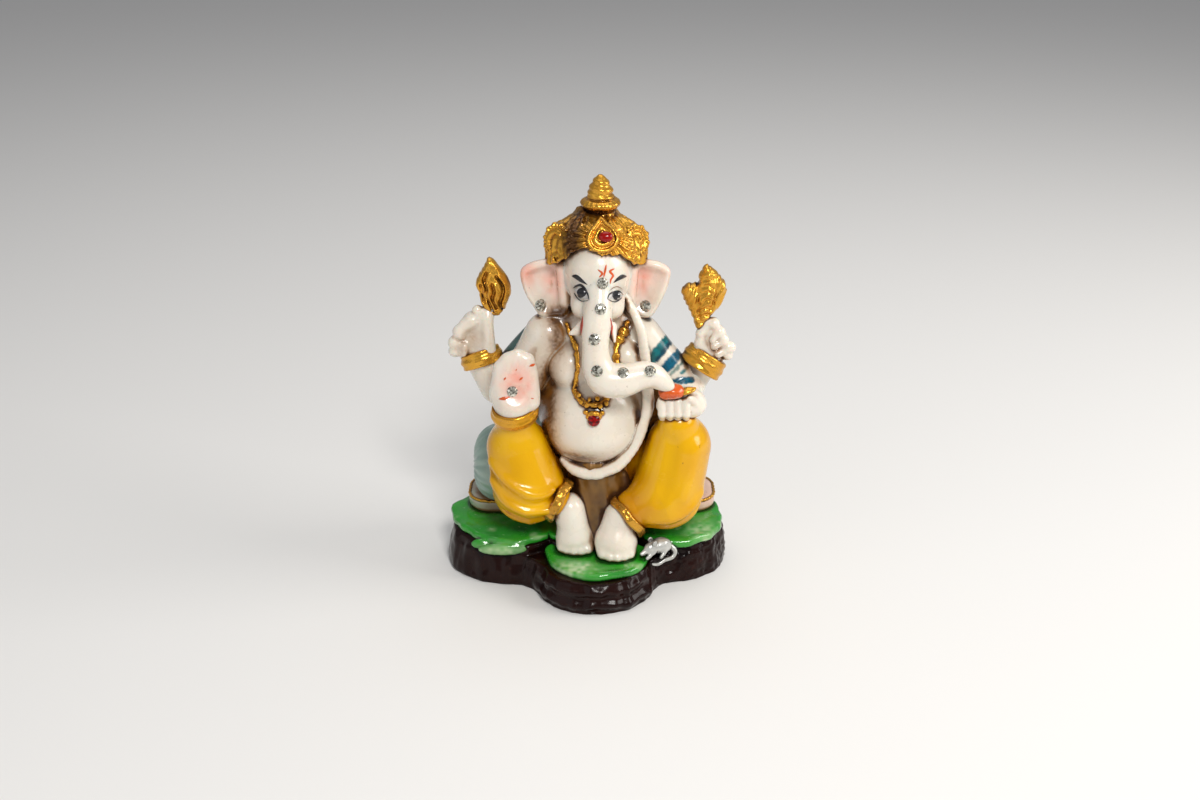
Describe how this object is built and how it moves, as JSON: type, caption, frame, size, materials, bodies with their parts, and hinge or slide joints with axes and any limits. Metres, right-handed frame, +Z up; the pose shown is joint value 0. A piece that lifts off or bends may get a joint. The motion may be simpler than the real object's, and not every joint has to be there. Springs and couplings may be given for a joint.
{
  "type": "ganesha idol",
  "caption": "Small seated elephant-headed prayer figure with four arms, a crown and a mouse at its feet, cast in resin on a lobed rock base with leaf pads.",
  "frame": {"origin": "on the flat underside of the rock base, straight below the axis of the crown", "axes": "+Z up, -Y is the way the figure faces, +X is the figure's own left side"},
  "size_m": [0.063, 0.0468, 0.09],
  "materials": {
    "marble_skin": "glossy cream marble-filled resin, a brown and gold wash left in the hollows, pink blush on ears and palm",
    "antique_gold": "metallic gold paint with dark brown rubbed into the relief",
    "dhoti_yellow": "high-gloss yellow enamel, amber in the folds",
    "pleat_bronze": "dull gold-brown paint with a dark wash",
    "rock_brown": "glossy near-black brown enamel over rough rock texture",
    "leaf_green": "glossy leaf green with pale worn streaks on the rims",
    "cushion_blush": "glossy cream with a pink tint",
    "bolster_mint": "glossy pale mint",
    "shawl_teal": "teal brush strokes over cream resin",
    "sweet_orange": "glossy orange-red enamel",
    "mouse_silver": "metallic silver paint",
    "clear_stone": "clear faceted foil-backed glass",
    "red_stone": "dark red faceted foil-backed glass"
  },
  "bodies": {
    "root": {"rock_base": "rock_brown", "leaf_front": "leaf_green", "leaf_right": "leaf_green", "leaf_left": "leaf_green", "leaf_rear": "leaf_green", "seat_cushion": "cushion_blush", "cushion_piping": "antique_gold", "back_bolster": "bolster_mint", "belly": "marble_skin", "chest": "marble_skin", "dhoti_seat": "dhoti_yellow", "dhoti_right_leg": "dhoti_yellow", "dhoti_left_leg": "dhoti_yellow", "dhoti_pleat": "pleat_bronze", "right_hem": "antique_gold", "left_hem": "antique_gold", "right_foot": "marble_skin", "left_foot": "marble_skin", "head": "marble_skin", "trunk": "marble_skin", "right_ear": "marble_skin", "left_ear": "marble_skin", "right_tusk": "marble_skin", "left_tusk": "marble_skin", "crown": "antique_gold", "crown_crest": "antique_gold", "crown_right_rosette": "antique_gold", "crown_left_rosette": "antique_gold", "crown_finial": "antique_gold", "rear_right_arm": "marble_skin", "rear_left_arm": "marble_skin", "rear_right_bangle": "antique_gold", "rear_left_bangle": "antique_gold", "rear_right_hand": "marble_skin", "rear_left_hand": "marble_skin", "lotus_bud": "antique_gold", "conch": "antique_gold", "front_right_arm": "marble_skin", "front_left_arm": "marble_skin", "front_right_bangle": "antique_gold", "front_right_hand": "marble_skin", "front_left_hand": "marble_skin", "modak_dish": "antique_gold", "modak": "sweet_orange", "shawl_right": "shawl_teal", "shawl_left": "shawl_teal", "shawl_back": "shawl_teal", "sacred_thread": "marble_skin", "necklace": "antique_gold", "pendant": "antique_gold", "pendant_ruby": "red_stone", "crown_ruby": "red_stone", "forehead_stone": "clear_stone", "trunk_stones": "clear_stone", "ear_stones": "clear_stone", "palm_stone": "clear_stone", "mouse": "mouse_silver", "mouse_tail": "mouse_silver"}
  },
  "joints": []
}
